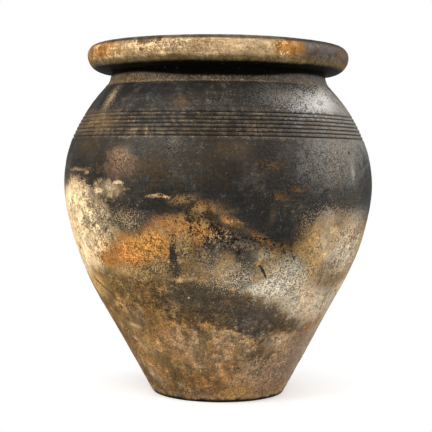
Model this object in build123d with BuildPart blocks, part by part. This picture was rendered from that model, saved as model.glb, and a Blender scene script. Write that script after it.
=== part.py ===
from build123d import *
from math import acos, cos, degrees, radians, sin, tan
import os

# Storage jar raised from a clay slab, hand-laid wall courses and a rolled rim.
# Millimetres, +Z up, the jar's axis is Z and the origin is the middle of the foot on the ground.

# Base slab
BASE_THICKNESS = 16.0
FOOT_EDGE_RADIUS = 4.5
CORNER_COIL_WIDTH = 24.0

# Wall, from the straight lower part to the hollow neck
WALL_THICKNESS = 11.0
BELLY_RADIUS = 222.6
BELLY_HEIGHT = 301.5
LOWER_WALL_ANGLE = 29.0
LOWER_CURVE_RADIUS = 402.5
BELLY_CURVE_RADIUS = 189.0
BELLY_CURVE_ANGLE = 10.9
UPPER_CURVE_RADIUS = 168.5
UPPER_CURVE_ANGLE = 22.9
SHOULDER_CURVE_RADIUS = 244.5
NECK_RADIUS = 154.3
NECK_CURVE_RADIUS = 30.0

# Rolled rim
RIM_OVERHANG_WIDTH = 33.6
RIM_UNDER_RADIUS = 23.8
RIM_TOP_RADIUS = 15.0
MOUTH_EDGE_RADIUS = 9.0

# Widths of the clay strips along the wall, and the slant of the joints between them
FOOT_COURSE_WIDTH = 77.0
LOWER_COURSE_WIDTH = 80.0
MIDDLE_COURSE_WIDTH = 80.0
COLLAR_COURSE_WIDTH = 45.5
NECK_RING_WIDTH = 21.5
JOINT_SLANT_ANGLE = 35.0

# Incised bands on the shoulder course
GROOVE_COUNT = 7
GROOVE_PITCH = 5.8
GROOVE_WIDTH = 2.8
GROOVE_DEPTH = 1.2
GROOVE_MARGIN_WIDTH = 7.5


def polar(centre, radius, angle):
    """Point at a radius and an angle in degrees from a centre."""
    return Vector(centre) + Vector(cos(radians(angle)), sin(radians(angle))) * radius


# Centres of the tangent arcs, as (radius, height) in the jar's half section
lower_belly_centre = Vector(BELLY_RADIUS - BELLY_CURVE_RADIUS, BELLY_HEIGHT)
lower_step = BELLY_CURVE_RADIUS - LOWER_CURVE_RADIUS
lower_wall_centre = polar(lower_belly_centre, lower_step, -BELLY_CURVE_ANGLE)
upper_belly_centre = Vector(BELLY_RADIUS - UPPER_CURVE_RADIUS, BELLY_HEIGHT)
shoulder_step = UPPER_CURVE_RADIUS - SHOULDER_CURVE_RADIUS
shoulder_centre = polar(upper_belly_centre, shoulder_step, UPPER_CURVE_ANGLE)
neck_run = NECK_RADIUS + NECK_CURVE_RADIUS - shoulder_centre.X
neck_slope = degrees(acos(neck_run / (SHOULDER_CURVE_RADIUS + NECK_CURVE_RADIUS)))
neck_centre = polar(shoulder_centre, SHOULDER_CURVE_RADIUS + NECK_CURVE_RADIUS, neck_slope)
neck_height = neck_centre.Y
lower_wall_turn = LOWER_WALL_ANGLE - BELLY_CURVE_ANGLE
shoulder_turn = neck_slope - UPPER_CURVE_ANGLE

# The straight lower wall runs from the end of its arc down to the ground
lower_wall_top = polar(lower_wall_centre, LOWER_CURVE_RADIUS, -LOWER_WALL_ANGLE)
foot_radius = lower_wall_top.X - lower_wall_top.Y * tan(radians(LOWER_WALL_ANGLE))
foot_corner = Vector(foot_radius, 0)

rim_radius = NECK_RADIUS + RIM_OVERHANG_WIDTH
rim_top = neck_height + RIM_UNDER_RADIUS + RIM_TOP_RADIUS
mouth_radius = NECK_RADIUS - WALL_THICKNESS


def wall_line(depth):
    """Draws the wall's line at a depth under its outer face, from the foot to above the neck."""
    Line(
        polar(foot_corner, -depth, -LOWER_WALL_ANGLE),
        polar(lower_wall_centre, LOWER_CURVE_RADIUS - depth, -LOWER_WALL_ANGLE),
    )
    CenterArc(lower_wall_centre, LOWER_CURVE_RADIUS - depth, -LOWER_WALL_ANGLE, lower_wall_turn)
    CenterArc(lower_belly_centre, BELLY_CURVE_RADIUS - depth, -BELLY_CURVE_ANGLE, BELLY_CURVE_ANGLE)
    CenterArc(upper_belly_centre, UPPER_CURVE_RADIUS - depth, 0, UPPER_CURVE_ANGLE)
    CenterArc(shoulder_centre, SHOULDER_CURVE_RADIUS - depth, UPPER_CURVE_ANGLE, shoulder_turn)
    CenterArc(neck_centre, NECK_CURVE_RADIUS + depth, 180 + neck_slope, -neck_slope)
    neck_side = NECK_RADIUS - depth
    Line((neck_side, neck_height), (neck_side, neck_height + WALL_THICKNESS))


def wall_section():
    """Draws the half section of the whole wall as one face."""
    with BuildLine() as outline:
        wall_line(0)
        wall_line(WALL_THICKNESS)
        ends = outline.vertices().sort_by(Axis.Y)
        Line(ends[0], ends[1])
        Line(ends[-1], ends[-2])
    make_face(outline.edges())


# Lengths along the outer face, measured from the foot corner up to the neck
straight_length = lower_wall_top.Y / cos(radians(LOWER_WALL_ANGLE))
lower_arc_length = LOWER_CURVE_RADIUS * radians(lower_wall_turn)
belly_mark = straight_length + lower_arc_length + BELLY_CURVE_RADIUS * radians(BELLY_CURVE_ANGLE)
upper_belly_mark = belly_mark + UPPER_CURVE_RADIUS * radians(UPPER_CURVE_ANGLE)
shoulder_mark = upper_belly_mark + SHOULDER_CURVE_RADIUS * radians(shoulder_turn)
neck_mark = shoulder_mark + NECK_CURVE_RADIUS * radians(neck_slope)


def outer_face(mark):
    """Point on the outer face at a length from the foot, and the outward angle there in degrees."""
    if mark <= straight_length:
        return polar(foot_corner, mark, 90 - LOWER_WALL_ANGLE), -LOWER_WALL_ANGLE
    if mark <= straight_length + lower_arc_length:
        angle = degrees((mark - straight_length) / LOWER_CURVE_RADIUS) - LOWER_WALL_ANGLE
        return polar(lower_wall_centre, LOWER_CURVE_RADIUS, angle), angle
    if mark <= belly_mark:
        angle = degrees((mark - belly_mark) / BELLY_CURVE_RADIUS)
        return polar(lower_belly_centre, BELLY_CURVE_RADIUS, angle), angle
    if mark <= upper_belly_mark:
        angle = degrees((mark - belly_mark) / UPPER_CURVE_RADIUS)
        return polar(upper_belly_centre, UPPER_CURVE_RADIUS, angle), angle
    if mark <= shoulder_mark:
        angle = degrees((mark - upper_belly_mark) / SHOULDER_CURVE_RADIUS) + UPPER_CURVE_ANGLE
        return polar(shoulder_centre, SHOULDER_CURVE_RADIUS, angle), angle
    angle = degrees((neck_mark - mark) / NECK_CURVE_RADIUS)
    return polar(neck_centre, -NECK_CURVE_RADIUS, angle), angle


def slanted_joint(mark):
    """Joint line that starts on the outer face and rises slantwise through the wall."""
    point, outward = outer_face(mark)
    return point, outward + 180 - JOINT_SLANT_ANGLE


def zone_between(lower_joint, upper_joint):
    """Corners of a zone that holds the wall between two joint lines, with room on both sides."""
    room = (upper_joint[0] - lower_joint[0]).length / 2
    through = WALL_THICKNESS / cos(radians(JOINT_SLANT_ANGLE)) + room
    return [
        polar(lower_joint[0], -room, lower_joint[1]),
        polar(lower_joint[0], through, lower_joint[1]),
        polar(upper_joint[0], through, upper_joint[1]),
        polar(upper_joint[0], -room, upper_joint[1]),
    ]


# Round-bottomed groove cut by a circle of this radius
groove_radius = (GROOVE_WIDTH**2 / 4 + GROOVE_DEPTH**2) / (2 * GROOVE_DEPTH)


def build_course(lower_joint, upper_joint, groove_marks=()):
    """One ring of the wall between two joints, with any grooves cut in its outer face."""
    with BuildPart() as course:
        with BuildSketch(Plane.XZ):
            wall_section()
            with BuildLine():
                Polyline(*zone_between(lower_joint, upper_joint), close=True)
            make_face(mode=Mode.INTERSECT)
            for mark in groove_marks:
                point, outward = outer_face(mark)
                with Locations(polar(point, groove_radius - GROOVE_DEPTH, outward)):
                    Circle(groove_radius, mode=Mode.SUBTRACT)
        revolve(axis=Axis.Z)
    return course


def save(name, piece):
    """Labels a finished piece and writes it under its own name."""
    piece.part.label = name
    export_step(piece.part, f"parts/{name}.step")


os.makedirs("parts", exist_ok=True)

# Base slab with the rounded edge of the foot
base_mark = BASE_THICKNESS / cos(radians(LOWER_WALL_ANGLE))
base_edge = outer_face(base_mark)[0]
with BuildPart() as base_disc:
    with BuildSketch(Plane.XZ) as base_section:
        with BuildLine():
            Polyline((0, 0), foot_corner, base_edge, (0, BASE_THICKNESS), close=True)
        make_face()
        foot_edge = base_section.vertices().group_by(Axis.Y)[0].sort_by(Axis.X)[-1]
        fillet(foot_edge, FOOT_EDGE_RADIUS)
    revolve(axis=Axis.Z)
save("base_disc", base_disc)

# Coil pressed into the inner corner between the base slab and the wall
inner_corner = base_edge - Vector(WALL_THICKNESS / cos(radians(LOWER_WALL_ANGLE)), 0)
coil_wall_end = polar(inner_corner, CORNER_COIL_WIDTH, 90 - LOWER_WALL_ANGLE)
coil_base_end = inner_corner - Vector(CORNER_COIL_WIDTH, 0)
with BuildPart() as base_corner_coil:
    with BuildSketch(Plane.XZ):
        with BuildLine():
            TangentArc(coil_base_end, coil_wall_end, tangent=(1, 0))
            Polyline(coil_wall_end, inner_corner, coil_base_end)
        make_face()
    revolve(axis=Axis.Z)
save("base_corner_coil", base_corner_coil)

# Places of the joints, counted up from the base slab and down from the neck
foot_top = base_mark + FOOT_COURSE_WIDTH
lower_top = foot_top + LOWER_COURSE_WIDTH
middle_top = lower_top + MIDDLE_COURSE_WIDTH
collar_top = neck_mark - NECK_RING_WIDTH
shoulder_top = collar_top - COLLAR_COURSE_WIDTH
groove_band = (GROOVE_COUNT - 1) * GROOVE_PITCH
shoulder_bottom = shoulder_top - groove_band - 2 * GROOVE_MARGIN_WIDTH
first_groove = shoulder_bottom + GROOVE_MARGIN_WIDTH
groove_marks = [first_groove + number * GROOVE_PITCH for number in range(GROOVE_COUNT)]

# Joints from the ground up: the first course stands on the flat top of the base slab
base_joint = (base_edge, 180)
foot_joint = slanted_joint(foot_top)
lower_joint = slanted_joint(lower_top)
middle_joint = slanted_joint(middle_top)
belly_joint = slanted_joint(belly_mark)
shoulder_joint = slanted_joint(shoulder_bottom)
collar_joint = slanted_joint(shoulder_top)
neck_joint = slanted_joint(collar_top)
rim_joint = slanted_joint(neck_mark)

# Wall courses
save("foot_course", build_course(base_joint, foot_joint))
save("lower_course", build_course(foot_joint, lower_joint))
save("middle_course", build_course(lower_joint, middle_joint))
save("belly_course", build_course(middle_joint, belly_joint))
save("upper_belly_course", build_course(belly_joint, shoulder_joint))
save("shoulder_course", build_course(shoulder_joint, collar_joint, groove_marks))
save("collar_course", build_course(collar_joint, neck_joint))
save("neck_ring", build_course(neck_joint, rim_joint))

# Rolled rim, seated over the slanted top of the neck ring
nose_height = neck_height + RIM_UNDER_RADIUS
seat_outer = Vector(NECK_RADIUS, neck_height)
seat_inner = Vector(mouth_radius, neck_height + WALL_THICKNESS * tan(radians(JOINT_SLANT_ANGLE)))
under_centre = Vector(rim_radius - RIM_UNDER_RADIUS, nose_height)
top_centre = Vector(rim_radius - RIM_TOP_RADIUS, nose_height)
lip_centre = Vector(mouth_radius + MOUTH_EDGE_RADIUS, rim_top - MOUTH_EDGE_RADIUS)
with BuildPart() as rim_roll:
    with BuildSketch(Plane.XZ):
        with BuildLine():
            Line(seat_outer, polar(under_centre, RIM_UNDER_RADIUS, -90))
            CenterArc(under_centre, RIM_UNDER_RADIUS, -90, 90)
            CenterArc(top_centre, RIM_TOP_RADIUS, 0, 90)
            Line(polar(top_centre, RIM_TOP_RADIUS, 90), polar(lip_centre, MOUTH_EDGE_RADIUS, 90))
            CenterArc(lip_centre, MOUTH_EDGE_RADIUS, 90, 90)
            Polyline(polar(lip_centre, MOUTH_EDGE_RADIUS, 180), seat_inner, seat_outer)
        make_face()
    revolve(axis=Axis.Z)
save("rim_roll", rim_roll)

print(f"height {rim_top:.1f}, foot radius {foot_radius:.1f}, rim radius {rim_radius:.1f}")
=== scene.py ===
import math
from dataclasses import dataclass
from itertools import combinations, product

import bpy
import numpy as np
from mathutils import Euler, Matrix, Vector


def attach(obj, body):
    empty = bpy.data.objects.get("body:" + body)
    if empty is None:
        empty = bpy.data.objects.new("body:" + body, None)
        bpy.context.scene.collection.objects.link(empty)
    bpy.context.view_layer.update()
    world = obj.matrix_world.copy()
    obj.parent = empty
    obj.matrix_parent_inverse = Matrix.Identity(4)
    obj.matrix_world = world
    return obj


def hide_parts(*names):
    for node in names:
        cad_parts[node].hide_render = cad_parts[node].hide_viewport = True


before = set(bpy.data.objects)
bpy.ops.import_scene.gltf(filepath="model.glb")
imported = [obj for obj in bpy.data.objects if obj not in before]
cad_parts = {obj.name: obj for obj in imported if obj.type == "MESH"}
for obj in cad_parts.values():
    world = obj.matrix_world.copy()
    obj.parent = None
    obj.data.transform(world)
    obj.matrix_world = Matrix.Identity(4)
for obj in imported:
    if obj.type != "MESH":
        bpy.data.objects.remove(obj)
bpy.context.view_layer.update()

# Lengths are metres and angles are degrees unless a name or comment says otherwise.
# Azimuth is counted from the front of the jar, at -Y, towards +X.

# Courses of the wall from the ground up, and the record's material slot of each
COURSE_SLOTS = {
    "base_disc": "foot_clay",
    "foot_course": "foot_clay",
    "lower_course": "foot_clay",
    "middle_course": "belly_clay",
    "belly_course": "belly_clay",
    "upper_belly_course": "smoked_clay",
    "shoulder_course": "smoked_clay",
    "collar_course": "smoked_clay",
    "neck_ring": "smoked_clay",
    "rim_roll": "rim_clay",
}
COIL = "base_corner_coil"
COIL_SLOT = "inner_clay"
BODY = "root"

# Mesh density
SEGMENTS = 768
OUTER_STEP = 0.0014
GROOVE_STEP = 0.0006
INNER_STEP = 0.003
SEAT_STEP = 0.005
CORNER_TURN = 35
GROOVE_LIMIT = 0.0042
SEAT_LIMIT = 0.016
SAME_PLACE = 1e-5

# Camera
CAMERA_DISTANCE = 1.6659
CAMERA_HEIGHT = 0.3301
CAMERA_SIDE = -0.0056
CAMERA_PITCH = 2.597
CAMERA_ROLL = 0.6
CAMERA_LENS_MM = 95.3

# Softboxes as (name, azimuth, elevation, distance, width, height, watts), all turned to the belly
SOFTBOXES = [
    ("key", -52, 40, 2.0, 1.4, 1.4, 34),
    ("fill", 40, 32, 2.2, 1.6, 1.6, 17.5),
    ("edge", 105, 45, 1.7, 0.6, 1.4, 11),
    ("top", 0, 88, 2.2, 1.6, 1.6, 10),
]
LIGHT_TARGET = Vector((0, 0, 0.28))
WORLD_LIGHT = 0.4

# Floor, which turns into the white background away from the jar
FLOOR_SIZE = 8
FLOOR_GREY = 0.85
FLOOR_GLOW = 0.3
FLOOR_FADE = (0.12, 0.3)

# Relief of the hand-made surface: rows of pairs are (size of the lumps, height or share)
LEAN_AT_RIM = -0.005
SWAY = -0.002
SWAY_HEIGHT = 0.14
SWAY_REACH = 0.05
NECK_RIDGE = 0.0006
NECK_RIDGE_REACH = 0.0022
NECK_RIDGE_SHARE = 0.8
NECK_RIDGE_CHANGE = [(0.03, 0.3)]
NORMAL_REACH = 0.004
LUMPS = ((0.22, 0.0007), (0.11, 0.0006), (0.045, 0.0003))
WHEEL_LINES = ((0.009, 0.00014), (0.0035, 0.0001))
ROUGHNESS = ((0.012, 0.00012), (0.005, 0.0001))
INNER_RIDGES = ((0.016, 0.0007), (0.03, 0.0006))
RING_CELLS = 1.6
RING_SHIFT = 40
GROUND_FADE = 0.008
INNER_FADE = (0.036, 0.06)
INSIDE_START = 0.03
INSIDE_FULL = 0.05
LIP_FADE = (0.0003, 0.0016)
GROOVE_FILL = 0.15
GROOVE_FILL_CHANGE = [(0.05, 0.5)]
GROOVE_FILL_LIMIT = 0.5
PIT_COUNT = 130
PIT_LEVELS = (0.02, 0.44)
PIT_REACHES = (0.002, 0.0045)
PIT_DEPTHS = (0.0003, 0.0008)
NOISE_CELLS = 64
rng = np.random.default_rng(20)
noise_lattice = rng.random((NOISE_CELLS,) * 3)

# Crusts as (azimuth, height, half width in degrees, half height, thickness), their grains and soft edge
CRUSTS = [
    (27, 0.18, 24, 0.042, 0.0006),
    (-58, 0.245, 24, 0.062, 0.0003),
]
CRUST_SHARE = 0.3
CRUST_GRAINS = ((0.007, 0.7), (0.0035, 0.5))
CRUST_EDGE = (0.5, 1.1)

# Larger dents as (azimuth, height, reach, depth): spalls, rim chips and a gouge, and the edge of all dents
DENTS = [
    (-55, 0.42, 0.009, 0.0007),
    (-40, 0.296, 0.011, 0.0006),
    (14.5, 0.2, 0.0045, 0.001),
    (16.5, 0.192, 0.0045, 0.0011),
    (18.5, 0.184, 0.004, 0.0009),
    (-18.5, 0.349, 0.0035, 0.0012),
    (-70, 0.212, 0.005, 0.0009),
    (54.5, 0.346, 0.005, 0.0006),
    (46, 0.252, 0.007, 0.0006),
    (-57, 0.474, 0.008, 0.001),
    (-31, 0.493, 0.007, 0.0009),
    (22, 0.489, 0.009, 0.0011),
    (58, 0.478, 0.01, 0.0012),
    (118, 0.49, 0.011, 0.0016),
    (171, 0.476, 0.009, 0.0014),
    (-128, 0.492, 0.012, 0.0015),
    (-8, 0.008, 0.008, 0.001),
    (37, 0.006, 0.009, 0.0012),
    (-48, 0.009, 0.007, 0.001),
    (104, 0.007, 0.01, 0.0013),
    (-150, 0.008, 0.009, 0.0012),
]
DENT_EDGE = (0.45, 1)
DENT_RAGGED = 0.25
DENT_GRAIN = 0.6

# Clay, soot and deposit colours, linear, and colours of painted shade, shadow and sheen
CREAM = (0.74, 0.55, 0.32)
DULL_CREAM = (0.36, 0.27, 0.165)
BUFF = (0.5, 0.36, 0.2)
BEIGE = (0.455, 0.37, 0.265)
SAND = (0.4, 0.27, 0.14)
BLUSH = (0.25, 0.165, 0.1)
TAN = (0.235, 0.125, 0.044)
FAWN = (0.36, 0.235, 0.135)
GOLD = (0.34, 0.215, 0.085)
AMBER = (0.48, 0.3, 0.115)
KHAKI = (0.24, 0.165, 0.075)
ORANGE = (0.38, 0.165, 0.044)
APRICOT = (0.41, 0.195, 0.05)
COPPER = (0.33, 0.148, 0.036)
OCHRE = (0.175, 0.103, 0.037)
RUST = (0.2, 0.1, 0.03)
SIENNA = (0.13, 0.06, 0.018)
RUSSET = (0.17, 0.1, 0.06)
BROWN = (0.165, 0.095, 0.03)
DRAB = (0.17, 0.115, 0.05)
UMBER = (0.085, 0.054, 0.026)
MAUVE = (0.2, 0.145, 0.105)
SMOKE = (0.062, 0.046, 0.028)
BLUE_SMOKE = (0.058, 0.05, 0.042)
DUSK = (0.066, 0.054, 0.043)
COAL = (0.026, 0.023, 0.018)
# Soot black, also used for the painted shade in the grooves and the painted contact shadow at the foot
SOOT_AND_SHADE = (0.011, 0.0098, 0.008)
PAINTED_SHADOW_BLACK = (0.003, 0.0026, 0.002)
GREY = (0.2, 0.188, 0.168)
GREEN_GREY = (0.25, 0.225, 0.155)
ASH = (0.42, 0.36, 0.262)
PALE_ASH = (0.55, 0.48, 0.37)
DUST_AND_SHEEN = (0.5, 0.48, 0.45)
SMUDGE = (0.22, 0.165, 0.1)
PLUM = (0.075, 0.061, 0.054)
PALE_PLUM = (0.16, 0.134, 0.12)
RIM_BUFF = (0.45, 0.325, 0.185)
OLIVE = (0.14, 0.1, 0.045)
NECK_BROWN = (0.125, 0.098, 0.067)
NECK_OCHRE = (0.21, 0.142, 0.075)
NECK_LINE = (0.23, 0.16, 0.09)
LAND_BROWN = (0.075, 0.055, 0.035)
LIP_HIGHLIGHT_BROWN = (0.15, 0.105, 0.062)
INNER_TAN = (0.33, 0.22, 0.13)
INNER_BROWN = (0.2, 0.125, 0.07)
COOL_TINT = (0.98, 1.0, 1.02)
WARM_TINT = (1.08, 1.0, 0.9)

# Fine relief in the material, and its shine
RELIEF_HEIGHT = 0.0003
CLAY_ROUGHNESS = 0.85
SOOT_ROUGHNESS = 0.55
CLAY_SPECULAR = 0.1
SOOT_SPECULAR = 0.17
INNER_ROUGHNESS = 0.9
ROUGHNESS_GRAIN = 0.3
SHADED_SHINE = 0.15
CLUMP_RELIEF = 0.4

# Millimetres of wall for each degree, near the belly
MM_PER_DEGREE = 3.6

# How far stains are pushed about, in degrees and mm, and how far their specks spread, as a share of them
WANDER_DEGREES = 4
WANDER_MM = 13
STAIN_REACH = 2.5

# Scratches as (slant, length in mm, width in mm, stops of light), and the back seam they stay clear of
SCRATCHES = [
    (52, 30, 1.5, 0.7),
    (-64, 44, 1.7, 0.6),
    (82, 60, 1.8, -0.9),
    (-6, 50, 1.4, -0.8),
]
SCRATCH_SEAM = (179, 168)
SCRATCH_CLUSTERS = (0.45, 0.65)
SCRATCH_MARKS = (0.6, 0.78)

# Grit specks: spacing, their size as a share of it, and how many are pale or dark and how strongly
GRIT_SPACING = 0.0075
GRIT_SIZE = (0.17, 0.1)
PALE_GRIT = (0.86, 0.9)
PALE_GRIT_SHARES = (0.5, 0.12)
DARK_GRIT = (0.22, 0.18)
DARK_GRIT_SHARE = 0.6

# Noises of the materials as (size of the largest lumps, detail, roughness), how two are stretched, and
# how far each counts in the specks and patches that edge the stains
COARSE_NOISE = (0.05, 7, 0.62)
FINE_NOISE = (0.01, 5, 0.62)
CLUMP_NOISE = (0.0034, 1, 0.5)
GRAIN_NOISE = (0.0017, 1, 0.6)
BLOTCH_NOISE = (0.1, 4, 0.6)
TINT_NOISE = (0.036, 3, 0.55)
WANDER_NOISE = (0.032, 3, 0.55)
WHEEL_NOISE = (0.06, 4, 0.6)
WIPE_NOISE = (0.011, 4, 0.6)
SCRATCH_NOISE = (1, 1, 0.5)
WHEEL_STRETCH = (1, 1, 22)
WIPE_STRETCH = (1, 1, 0.2)
NOISE_GAIN = 3
CLUMP_GAIN = 1.8
GRAIN_GAIN = 4.2
FINE_IN_SPECKS = 0.3
LOW_SPECKS = 0.6
FINE_IN_PATCHES = 0.95
COARSE_IN_PATCHES = 0.65

# Patches of a second colour: the noise at which they start and are full, and their share if not 1
DRAB_PATCHES = (0.5, 0.38, 0.7)
FAWN_PATCHES = (0.5, 0.64)
UMBER_PATCHES = (0.52, 0.64, 0.6)
COAL_PATCHES = (0.38, 0.62)
BURNT_PATCHES = (0.5, 0.75, 0.15)
DUSK_PATCHES = (0, 0.8, 0.12)
WORN_AND_LIT_PATCHES = (0.35, 0.62)
GROOVE_SHADE_PATCHES = (0.75, 0.45)
LINE_PATCHES = (0.3, 0.6, 0.5)
RIM_PATCHES = (0.25, 0.55)
TINT_PATCHES = (0.3, 0.7)
CALM_RED = (0.4, 0.7)

# Zones of the wall: the heights in mm at which they start and are full, and how many mm the fine noise,
# the coarse noise and the specks move them. A fade is counted from an edge or line.
BROWN_ZONE = (95, 160, 0, 25)
OCHRE_ZONE = (180, 188, 0, 6)
SOOT_FADE = (-6, 6)
SOOT_WOBBLES = (6, 12, 13)
FAWN_ZONE = (190, 150)
CALM_ZONE = (185, 150)
BAND_FOOT = (360, 367)
BAND_TOP = (405, 399)
NECK_ZONE = (439, 441)
NECK_LINE_LEVEL = 440.5
NECK_LINE_FADE = (1.6, 0.6)
# Painted shadow under the rim: the azimuths over which its start rises, its start heights, fade and wobble
# in mm
SHADOW_AZIMUTHS = (12, 50)
SHADOW_LEVELS = (446, 453)
SHADOW_FADE = (-2, 3)
SHADOW_WOBBLE = 0.8
RIM_ZONE = (463, 468, 0.4, 1.2)
# Painted shade on the rim's underside
RIM_UNDERSIDE_SHADE = (475, 469, 0.4, 1.2)
RIM_CROWN = (491, 494.5, 0.4, 1.2)
WEAR_START = (4, 7, 2)
WEAR_END = (14, 10, 2)
# Painted contact shadow where the foot meets the ground
CONTACT_SHADOW_ZONE = (6, 2.5, 2)
# Painted shade in the groove bottoms, from these depths in mm
GROOVE_SHADE_MM = (0.5, 1.1)

# Shares of colours, and stops of light over a noise's whole range, at rough and at calm places
FAWN_SHARES = (0.25, 0.6)
WORN_AND_LIT_SHARE = 0.6
NECK_SHARE = 0.85
CROWN_SHARE = 0.85
WEAR_SHARE = 0.3
CALM_SHARE = 0.5
WIPE_STOPS = 3
SOOT_STOPS = 2.4
RIM_STOPS = 3
INNER_STOPS = 2
COARSE_STOPS = 1.6
FINE_STOPS = 3.6
CLUMP_STOPS = (2.6, 1.3)
GRAIN_STOPS = (4, 2)

# Highest value of the curve that holds the soot's edge, in mm
EDGE_SPAN = 500

# Azimuth and height in mm at which the soot begins
SOOT_EDGE = [
    (-180, 285), (-140, 262), (-110, 296), (-80, 304), (-66, 312),
    (-60, 307), (-52, 297), (-45, 284), (-40, 264), (-36, 249),
    (-30, 246), (-26, 254), (-20, 266), (-12, 270), (-4, 267),
    (2, 258), (7, 246), (13, 236), (20, 229), (27, 225),
    (31, 230), (34, 250), (38, 268), (46, 272), (58, 264),
    (72, 262), (105, 290), (140, 240), (180, 285),
]


@dataclass
class Edge:
    """Edge of a stain: its softness, unevenness, share of fine grain in that, and thinning out."""

    soft: float
    ragged: float
    grain: float
    sparse: float = 0


EVEN = Edge(0.14, 0.12, 0.3)
CLEAN = Edge(0.1, 0.4, 0.3)
FLAKY = Edge(0.12, 1.0, 0.45)
CLOUDY = Edge(0.25, 1.3, 0.4)
HAZY = Edge(0.34, 0.9, 0.25)
SPECKLED = Edge(0.22, 1.7, 0.8, 0.15)
SPARSE = Edge(0.22, 1.9, 0.88, 0.75)
BROKEN = Edge(0.16, 2.1, 0.2, 0.62)


@dataclass
class Stain:
    """Oval of colour: azimuth of its middle, level in mm, half width in degrees, half height in mm, edge,
    strength in per cent and tilt.
    """

    colour: tuple
    middle: float
    level: float
    width: float
    rise: float
    edge: Edge
    strength: float = 80
    tilt: float = 0


# Inputs of the group that draws one stain
STAIN_SOCKETS = ["azimuth", "height", "coarse", "fine", "middle", "level", "width", "rise"]
STAIN_SOCKETS += ["tilt", "strength", "soft", "ragged", "grain", "sparse"]

# Rows for Stain, each laid over those before it: foot and lower wall
LOWER_STAINS = [
    (BLUSH, 42, 48, 38, 60, CLOUDY),
    (MAUVE, 60, 55, 22, 60, CLOUDY, 75),
    (BEIGE, 78, 80, 18, 90, CLOUDY, 50),
    (GOLD, -48, 84, 22, 34, CLOUDY, 40),
    (RUSSET, -10, 12, 13, 10, CLOUDY, 60),
    (UMBER, -37, 14, 9, 8, CLOUDY, 50),
    (GOLD, 15, 15, 13, 11, CLOUDY, 70),
    (GOLD, 2.5, 45, 5, 8, CLOUDY, 60),
    (UMBER, -64, 80, 10, 18, CLOUDY, 35),
    (UMBER, -38, 104, 5, 12, CLOUDY, 35),
    (UMBER, -8.5, 97, 2.4, 15, FLAKY, 55),
    (UMBER, -22, 109, 2.6, 11, FLAKY, 55),
    (SAND, -20, 102, 1.7, 18, CLEAN, 55),
    (SAND, -12, 98, 1.4, 15, CLEAN, 50),
    (SAND, 7, 88, 1.8, 13, CLEAN, 40),
    (SAND, 15, 86, 1.4, 13, CLEAN, 40),
    (FAWN, -20, 90, 10, 26, HAZY, 40),
    (FAWN, 2, 82, 8, 22, HAZY, 35),
    (FAWN, 24, 42, 10, 20, HAZY, 40),
    (FAWN, 36, 86, 8, 14, CLOUDY, 40),
    (SAND, -2, 100, 1.8, 16, CLEAN, 50),
    (SAND, -16.5, 68, 2.6, 8, SPECKLED, 60),
    (SAND, -4, 66, 44, 44, BROKEN, 30),
    (UMBER, 2, 62, 46, 56, BROKEN, 35),
    (AMBER, -52.5, 136, 4, 7, CLOUDY, 70, -15),
    (BUFF, -47.5, 108.5, 4, 4, FLAKY, 60),
    (UMBER, 12, 50, 2.5, 6, SPARSE, 90),
    (UMBER, 23.5, 60, 2, 4, SPARSE, 90),
    (UMBER, 28, 80, 9, 18, CLOUDY, 65),
    (BEIGE, 35, 92, 9, 14, SPECKLED, 50),
    (BROWN, -44, 160, 22, 22, CLOUDY, 90),
    (UMBER, -36, 160, 14, 16, CLOUDY, 60),
    (SMOKE, -10, 150, 18, 32, HAZY, 75),
    (SMOKE, -10, 160, 16, 18.5, CLEAN, 85),
    (SMOKE, 5, 146, 14, 36, HAZY, 85),
    (SMOKE, 6, 132, 10, 23, CLEAN, 75),
    (BLUE_SMOKE, 20, 127, 14, 32, HAZY, 90),
    (SMOKE, 36, 118, 10, 16, HAZY, 85),
    (SMOKE, 50, 111, 10, 10, HAZY, 45),
    (SAND, 5.5, 105, 6, 3.6, CLEAN, 90),
    (SAND, -14, 180, 9, 2.4, SPECKLED, 85),
    (CREAM, -12, 49, 0.35, 1.8, CLEAN),
    (CREAM, -13, 155, 0.3, 1.6, CLEAN, 70),
    (BEIGE, 122, 70, 20, 50, CLOUDY, 50),
    (SMOKE, 166, 118, 24, 28, CLOUDY),
    (GOLD, 140, 36, 14, 26, CLOUDY, 50),
    (SMOKE, -112, 126, 18, 22, CLOUDY, 70),
    (SAND, -146, 82, 14, 30, FLAKY, 50),
    (UMBER, -96, 48, 14, 20, CLOUDY, 45),
]

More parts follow.
